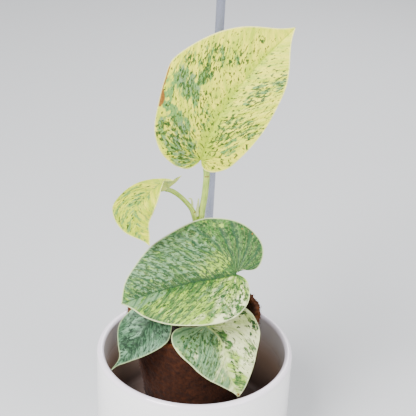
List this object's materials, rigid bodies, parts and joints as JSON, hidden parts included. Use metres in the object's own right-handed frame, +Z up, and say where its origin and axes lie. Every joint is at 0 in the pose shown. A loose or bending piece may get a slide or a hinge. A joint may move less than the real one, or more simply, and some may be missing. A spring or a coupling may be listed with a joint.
{
  "type": "potted scindapsus",
  "caption": "Young variegated scindapsus with marbled heart-shaped leaves, growing in a brown coir pot beside a clear support rod and standing in a round white glazed cover pot.",
  "frame": {"origin": "centre of the cover pot's flat underside", "axes": "+Z up along the pot's axis, -Y to the front where the lower leaves hang, +X to the right seen from the front"},
  "size_m": [0.12, 0.12, 0.3126],
  "materials": {
    "white_glaze": "glossy white glaze",
    "coir": "rough pressed coconut fibre",
    "potting_soil": "matt crumbly potting mix",
    "clear_acrylic": "polished clear rod",
    "green_stalk": "satin plant skin",
    "cream_leaf": "satin cream leaf with green flecks",
    "marbled_leaf": "satin marbled green and cream leaf",
    "dark_leaf": "satin dark green leaf with silver patches"
  },
  "bodies": {
    "root": {"cover_pot": "white_glaze", "coir_pot": "coir", "soil": "potting_soil", "support_rod": "clear_acrylic", "stem": "green_stalk", "petiole_top": "green_stalk", "petiole_side": "green_stalk", "petiole_front": "green_stalk", "petiole_lower_left": "green_stalk", "petiole_lower_right": "green_stalk", "leaf_top": "cream_leaf", "leaf_side": "cream_leaf", "leaf_front": "marbled_leaf", "leaf_lower_left": "dark_leaf", "leaf_lower_right": "marbled_leaf"}
  },
  "joints": []
}
